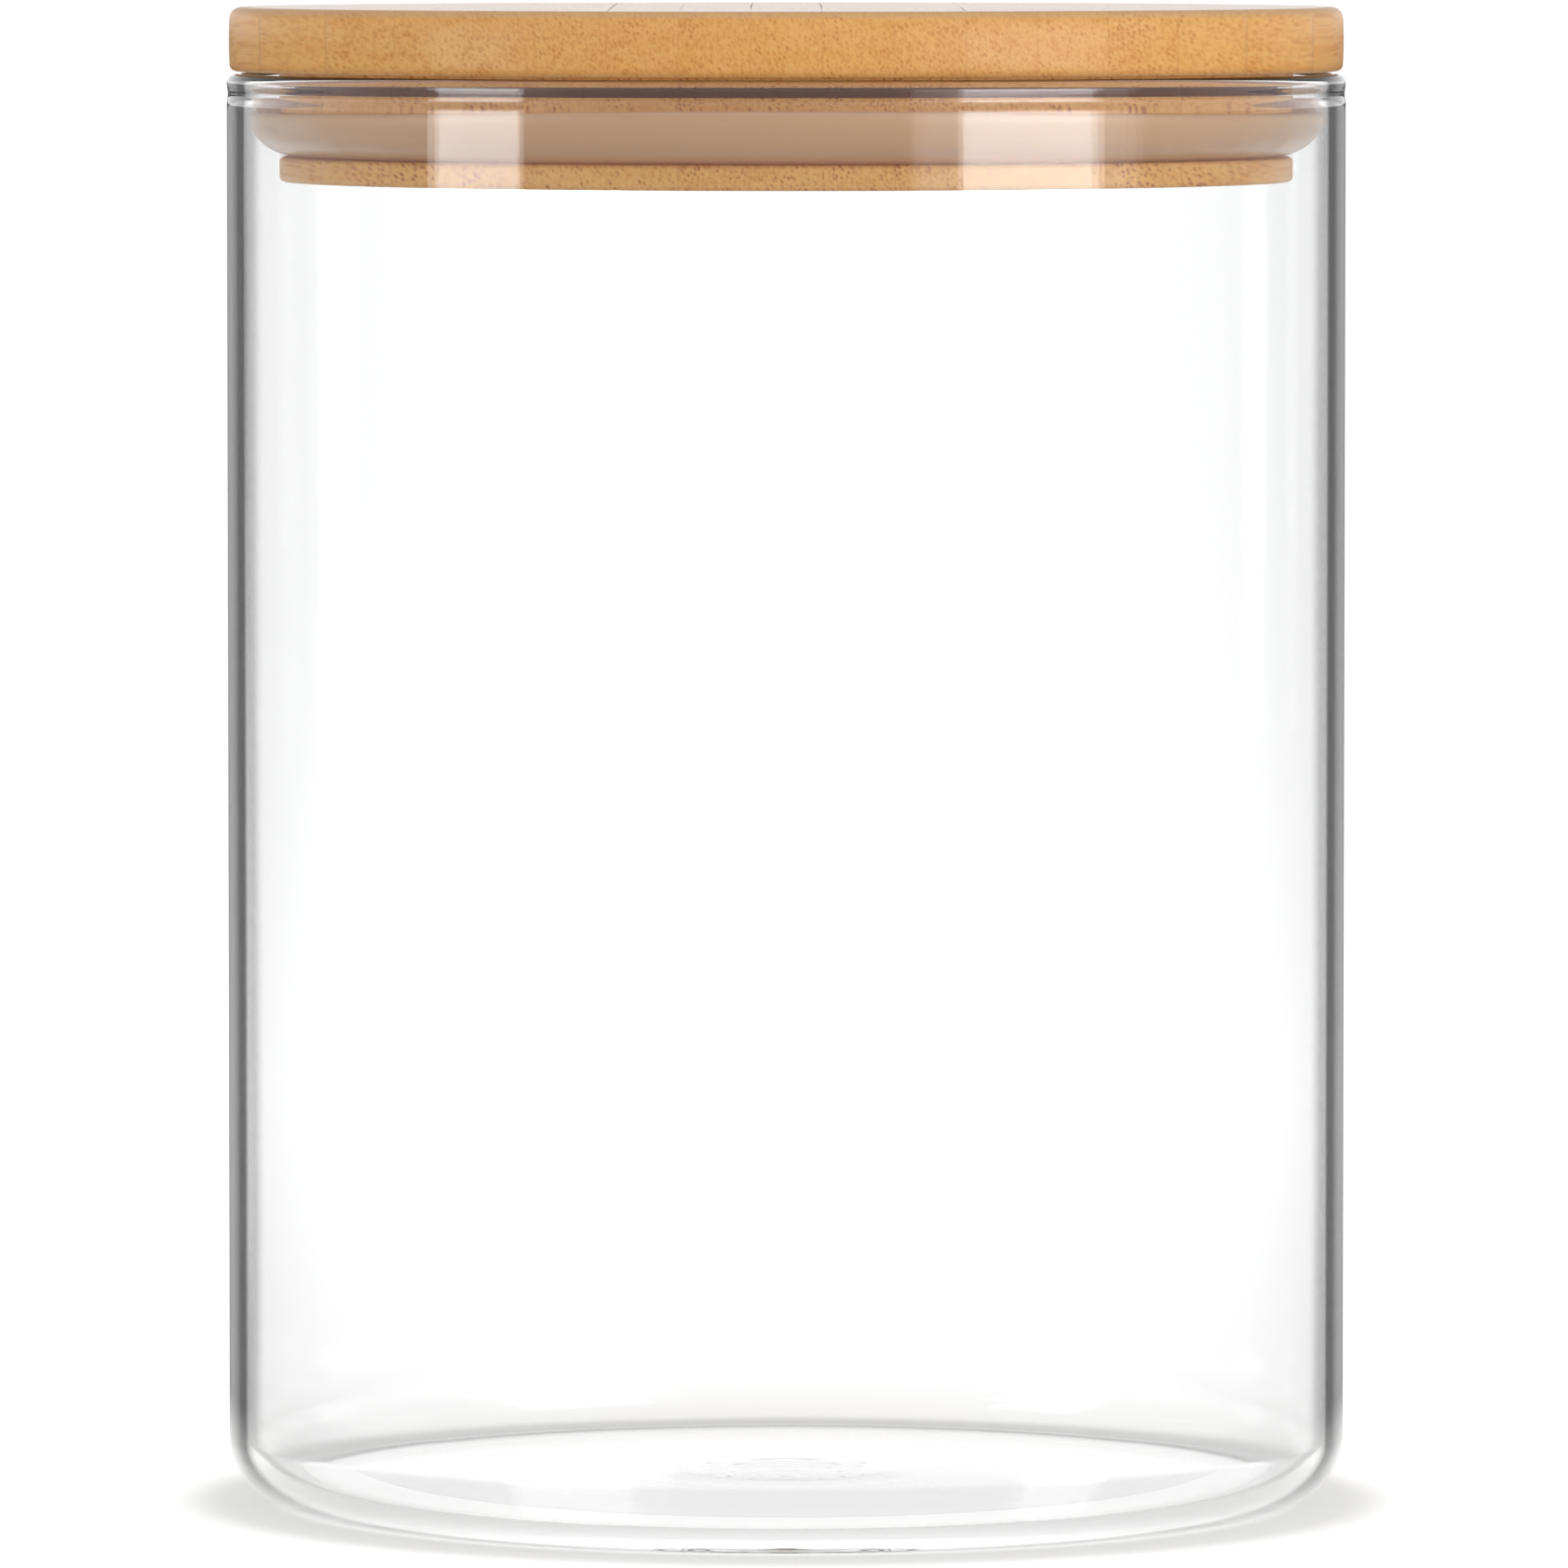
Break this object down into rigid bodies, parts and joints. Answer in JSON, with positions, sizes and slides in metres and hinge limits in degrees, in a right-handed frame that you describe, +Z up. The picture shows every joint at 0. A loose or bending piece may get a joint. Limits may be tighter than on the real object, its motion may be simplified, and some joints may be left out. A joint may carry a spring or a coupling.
{
  "type": "lidded glass canister",
  "caption": "Round clear glass storage jar with a press-in lid turned from laminated bamboo strips, sealed by a flared silicone ring.",
  "frame": {"origin": "on the jar's axis, in the plane that the jar stands on", "axes": "+Z up along the jar's axis; the lid's bamboo strips run along Y"},
  "size_m": [0.1, 0.1, 0.134],
  "materials": {
    "borosilicate_glass": "clear, fire-polished",
    "silicone": "translucent, matt",
    "bamboo": "satin lacquer, natural laminated bamboo"
  },
  "bodies": {
    "jar": {"glass_jar": "borosilicate_glass"},
    "seal": {"seal_ring": "silicone"},
    "lid": {"lid_strip_01": "bamboo", "lid_strip_02": "bamboo", "lid_strip_03": "bamboo", "lid_strip_04": "bamboo", "lid_strip_05": "bamboo", "lid_strip_06": "bamboo", "lid_strip_07": "bamboo", "lid_strip_08": "bamboo", "lid_strip_09": "bamboo", "lid_strip_10": "bamboo", "lid_strip_11": "bamboo", "lid_strip_12": "bamboo", "lid_strip_13": "bamboo", "lid_strip_14": "bamboo", "lid_strip_15": "bamboo", "lid_strip_16": "bamboo", "lid_strip_17": "bamboo"}
  },
  "joints": [
    {"name": "lid_lift", "type": "slide", "parent": "jar", "child": "seal", "axis": [0, 0, 1], "range_m": [0, 0.12]},
    {"name": "lid_turn", "type": "hinge", "parent": "seal", "child": "lid", "pos_m": [0, 0, 0.1226], "axis": [0, 0, 1], "continuous": true}
  ]
}
